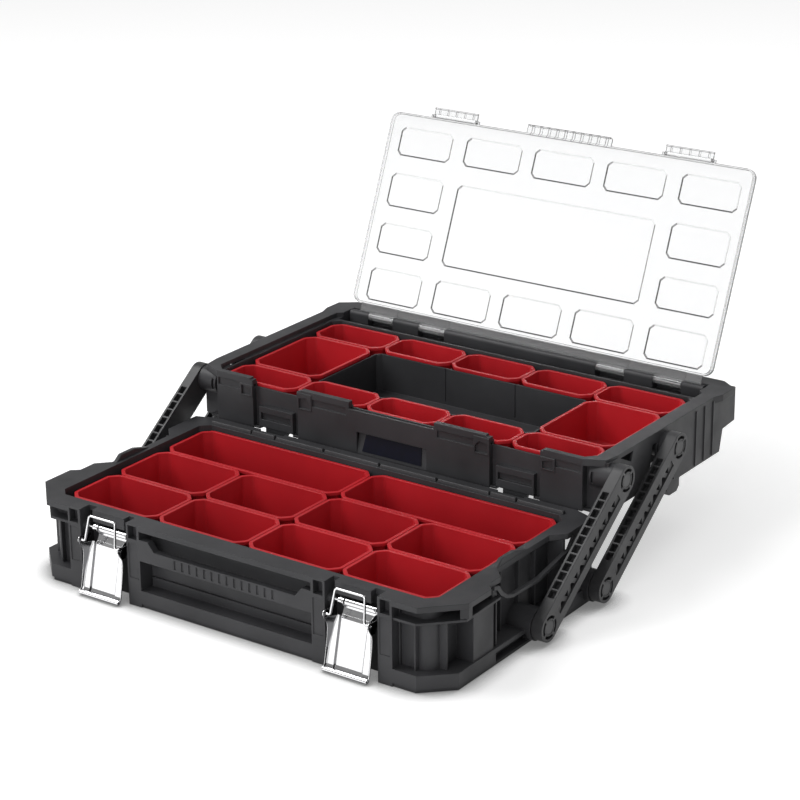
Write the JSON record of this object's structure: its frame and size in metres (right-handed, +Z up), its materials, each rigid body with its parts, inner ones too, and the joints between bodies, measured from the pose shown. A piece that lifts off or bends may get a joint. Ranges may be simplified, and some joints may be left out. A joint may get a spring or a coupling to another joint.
{
  "type": "cantilever tool box",
  "caption": "Two-level plastic tool box whose clear-lidded upper organiser swings up and back on parallel arms, with lift-out bins and draw latches.",
  "frame": {"origin": "Centre of the lower box footprint, on the floor that it stands on", "axes": "+X to the right along the box, +Y to the rear, the way the upper box opens, +Z up"},
  "size_m": [0.566, 0.6675, 0.381],
  "materials": {
    "tub_plastic": "satin",
    "arm_plastic": "satin",
    "pin_plastic": "satin",
    "bin_plastic": "satin",
    "clear_plastic": "clear",
    "bare_label": "gloss",
    "latch_steel": "polished"
  },
  "bodies": {
    "lower_box": {"lower_tub": "tub_plastic", "lower_pivot_pins": "pin_plastic", "latch_pins": "latch_steel"},
    "front_arm_right": {"front_arm_right": "arm_plastic"},
    "front_arm_left": {"front_arm_left": "arm_plastic"},
    "rear_arm_right": {"rear_arm_right": "arm_plastic"},
    "rear_arm_left": {"rear_arm_left": "arm_plastic"},
    "upper_box": {"upper_tub": "tub_plastic", "upper_pivot_pins": "pin_plastic", "lid_hinge_rods": "latch_steel", "label_plate": "bare_label", "catch_keeper_left": "tub_plastic", "catch_keeper_right": "tub_plastic"},
    "lid": {"lid": "clear_plastic"},
    "lid_clip_left": {"lid_clip_left": "clear_plastic"},
    "lid_clip_right": {"lid_clip_right": "clear_plastic"},
    "latch_lever_left": {"latch_lever_left": "latch_steel"},
    "latch_lever_right": {"latch_lever_right": "latch_steel"},
    "latch_bail_left": {"latch_bail_left": "latch_steel"},
    "latch_bail_right": {"latch_bail_right": "latch_steel"},
    "lower_bin_front_1": {"lower_bin_front_1": "bin_plastic"},
    "lower_bin_front_2": {"lower_bin_front_2": "bin_plastic"},
    "lower_bin_front_3": {"lower_bin_front_3": "bin_plastic"},
    "lower_bin_front_4": {"lower_bin_front_4": "bin_plastic"},
    "lower_bin_middle_1": {"lower_bin_middle_1": "bin_plastic"},
    "lower_bin_middle_2": {"lower_bin_middle_2": "bin_plastic"},
    "lower_bin_middle_3": {"lower_bin_middle_3": "bin_plastic"},
    "lower_bin_middle_4": {"lower_bin_middle_4": "bin_plastic"},
    "lower_bin_rear_1": {"lower_bin_rear_1": "bin_plastic"},
    "lower_bin_rear_2": {"lower_bin_rear_2": "bin_plastic"},
    "upper_bin_front_1": {"upper_bin_front_1": "bin_plastic"},
    "upper_bin_front_2": {"upper_bin_front_2": "bin_plastic"},
    "upper_bin_front_3": {"upper_bin_front_3": "bin_plastic"},
    "upper_bin_front_4": {"upper_bin_front_4": "bin_plastic"},
    "upper_bin_front_5": {"upper_bin_front_5": "bin_plastic"},
    "upper_bin_rear_1": {"upper_bin_rear_1": "bin_plastic"},
    "upper_bin_rear_2": {"upper_bin_rear_2": "bin_plastic"},
    "upper_bin_rear_3": {"upper_bin_rear_3": "bin_plastic"},
    "upper_bin_rear_4": {"upper_bin_rear_4": "bin_plastic"},
    "upper_bin_rear_5": {"upper_bin_rear_5": "bin_plastic"},
    "upper_bin_side_1": {"upper_bin_side_1": "bin_plastic"},
    "upper_bin_side_2": {"upper_bin_side_2": "bin_plastic"}
  },
  "joints": [
    {"name": "front_arm_right_swing", "type": "hinge", "parent": "lower_box", "child": "front_arm_right", "pos_m": [0.276, 0.0185, 0.0195], "axis": [1, 0, 0], "range_deg": [0, 106.2]},
    {"name": "front_arm_left_swing", "type": "hinge", "parent": "lower_box", "child": "front_arm_left", "pos_m": [-0.276, 0.0185, 0.0195], "axis": [1, 0, 0], "range_deg": [0, 106.2]},
    {"name": "rear_arm_right_swing", "type": "hinge", "parent": "lower_box", "child": "rear_arm_right", "pos_m": [0.276, 0.1285, 0.0195], "axis": [1, 0, 0], "range_deg": [0, 106.2]},
    {"name": "rear_arm_left_swing", "type": "hinge", "parent": "lower_box", "child": "rear_arm_left", "pos_m": [-0.276, 0.1285, 0.0195], "axis": [1, 0, 0], "range_deg": [0, 106.2]},
    {"name": "upper_box_swing", "type": "hinge", "parent": "front_arm_right", "child": "upper_box", "pos_m": [0.276, 0.16461, 0.12683], "axis": [1, 0, 0], "range_deg": [-106.2, 0]},
    {"name": "lid_hinge", "type": "hinge", "parent": "upper_box", "child": "lid", "pos_m": [0, 0.40485, 0.14266], "axis": [1, 0, 0], "range_deg": [0, 112.7]},
    {"name": "lid_clip_left_hinge", "type": "hinge", "parent": "lid", "child": "lid_clip_left", "pos_m": [-0.157, 0.50594, 0.37137], "axis": [1, 0, 0], "range_deg": [0, 90]},
    {"name": "lid_clip_right_hinge", "type": "hinge", "parent": "lid", "child": "lid_clip_right", "pos_m": [0.157, 0.50594, 0.37137], "axis": [1, 0, 0], "range_deg": [0, 90]},
    {"name": "latch_lever_left_hinge", "type": "hinge", "parent": "lower_box", "child": "latch_lever_left", "pos_m": [-0.1577, -0.1335, 0.071], "axis": [1, 0, 0], "range_deg": [-85, 0]},
    {"name": "latch_bail_left_hinge", "type": "hinge", "parent": "latch_lever_left", "child": "latch_bail_left", "pos_m": [-0.1577, -0.1485, 0.0605], "axis": [1, 0, 0], "range_deg": [0, 110.5]},
    {"name": "latch_lever_right_hinge", "type": "hinge", "parent": "lower_box", "child": "latch_lever_right", "pos_m": [0.1577, -0.1335, 0.071], "axis": [1, 0, 0], "range_deg": [-85, 0]},
    {"name": "latch_bail_right_hinge", "type": "hinge", "parent": "latch_lever_right", "child": "latch_bail_right", "pos_m": [0.1577, -0.1485, 0.0605], "axis": [1, 0, 0], "range_deg": [0, 110.5]},
    {"name": "lower_bin_front_1_lift", "type": "slide", "parent": "lower_box", "child": "lower_bin_front_1", "axis": [0, 0, -1], "range_m": [-0.09, 0]},
    {"name": "lower_bin_front_2_lift", "type": "slide", "parent": "lower_box", "child": "lower_bin_front_2", "axis": [0, 0, -1], "range_m": [-0.09, 0]},
    {"name": "lower_bin_front_3_lift", "type": "slide", "parent": "lower_box", "child": "lower_bin_front_3", "axis": [0, 0, -1], "range_m": [-0.09, 0]},
    {"name": "lower_bin_front_4_lift", "type": "slide", "parent": "lower_box", "child": "lower_bin_front_4", "axis": [0, 0, -1], "range_m": [-0.09, 0]},
    {"name": "lower_bin_middle_1_lift", "type": "slide", "parent": "lower_box", "child": "lower_bin_middle_1", "axis": [0, 0, -1], "range_m": [-0.09, 0]},
    {"name": "lower_bin_middle_2_lift", "type": "slide", "parent": "lower_box", "child": "lower_bin_middle_2", "axis": [0, 0, -1], "range_m": [-0.09, 0]},
    {"name": "lower_bin_middle_3_lift", "type": "slide", "parent": "lower_box", "child": "lower_bin_middle_3", "axis": [0, 0, -1], "range_m": [-0.09, 0]},
    {"name": "lower_bin_middle_4_lift", "type": "slide", "parent": "lower_box", "child": "lower_bin_middle_4", "axis": [0, 0, -1], "range_m": [-0.09, 0]},
    {"name": "lower_bin_rear_1_lift", "type": "slide", "parent": "lower_box", "child": "lower_bin_rear_1", "axis": [0, 0, -1], "range_m": [-0.09, 0]},
    {"name": "lower_bin_rear_2_lift", "type": "slide", "parent": "lower_box", "child": "lower_bin_rear_2", "axis": [0, 0, -1], "range_m": [-0.09, 0]},
    {"name": "upper_bin_front_1_lift", "type": "slide", "parent": "upper_box", "child": "upper_bin_front_1", "axis": [0, 0, -1], "range_m": [-0.06, 0]},
    {"name": "upper_bin_front_2_lift", "type": "slide", "parent": "upper_box", "child": "upper_bin_front_2", "axis": [0, 0, -1], "range_m": [-0.06, 0]},
    {"name": "upper_bin_front_3_lift", "type": "slide", "parent": "upper_box", "child": "upper_bin_front_3", "axis": [0, 0, -1], "range_m": [-0.06, 0]},
    {"name": "upper_bin_front_4_lift", "type": "slide", "parent": "upper_box", "child": "upper_bin_front_4", "axis": [0, 0, -1], "range_m": [-0.06, 0]},
    {"name": "upper_bin_front_5_lift", "type": "slide", "parent": "upper_box", "child": "upper_bin_front_5", "axis": [0, 0, -1], "range_m": [-0.06, 0]},
    {"name": "upper_bin_rear_1_lift", "type": "slide", "parent": "upper_box", "child": "upper_bin_rear_1", "axis": [0, 0, -1], "range_m": [-0.06, 0]},
    {"name": "upper_bin_rear_2_lift", "type": "slide", "parent": "upper_box", "child": "upper_bin_rear_2", "axis": [0, 0, -1], "range_m": [-0.06, 0]},
    {"name": "upper_bin_rear_3_lift", "type": "slide", "parent": "upper_box", "child": "upper_bin_rear_3", "axis": [0, 0, -1], "range_m": [-0.06, 0]},
    {"name": "upper_bin_rear_4_lift", "type": "slide", "parent": "upper_box", "child": "upper_bin_rear_4", "axis": [0, 0, -1], "range_m": [-0.06, 0]},
    {"name": "upper_bin_rear_5_lift", "type": "slide", "parent": "upper_box", "child": "upper_bin_rear_5", "axis": [0, 0, -1], "range_m": [-0.06, 0]},
    {"name": "upper_bin_side_1_lift", "type": "slide", "parent": "upper_box", "child": "upper_bin_side_1", "axis": [0, 0, -1], "range_m": [-0.06, 0]},
    {"name": "upper_bin_side_2_lift", "type": "slide", "parent": "upper_box", "child": "upper_bin_side_2", "axis": [0, 0, -1], "range_m": [-0.06, 0]}
  ],
  "couplings": [
    {"joint": "front_arm_left_swing", "follows": "front_arm_right_swing", "ratio": 1},
    {"joint": "rear_arm_right_swing", "follows": "front_arm_right_swing", "ratio": 1},
    {"joint": "rear_arm_left_swing", "follows": "front_arm_right_swing", "ratio": 1},
    {"joint": "upper_box_swing", "follows": "front_arm_right_swing", "ratio": -1},
    {"joint": "latch_bail_left_hinge", "follows": "latch_lever_left_hinge", "ratio": -1.3},
    {"joint": "latch_bail_right_hinge", "follows": "latch_lever_right_hinge", "ratio": -1.3}
  ]
}
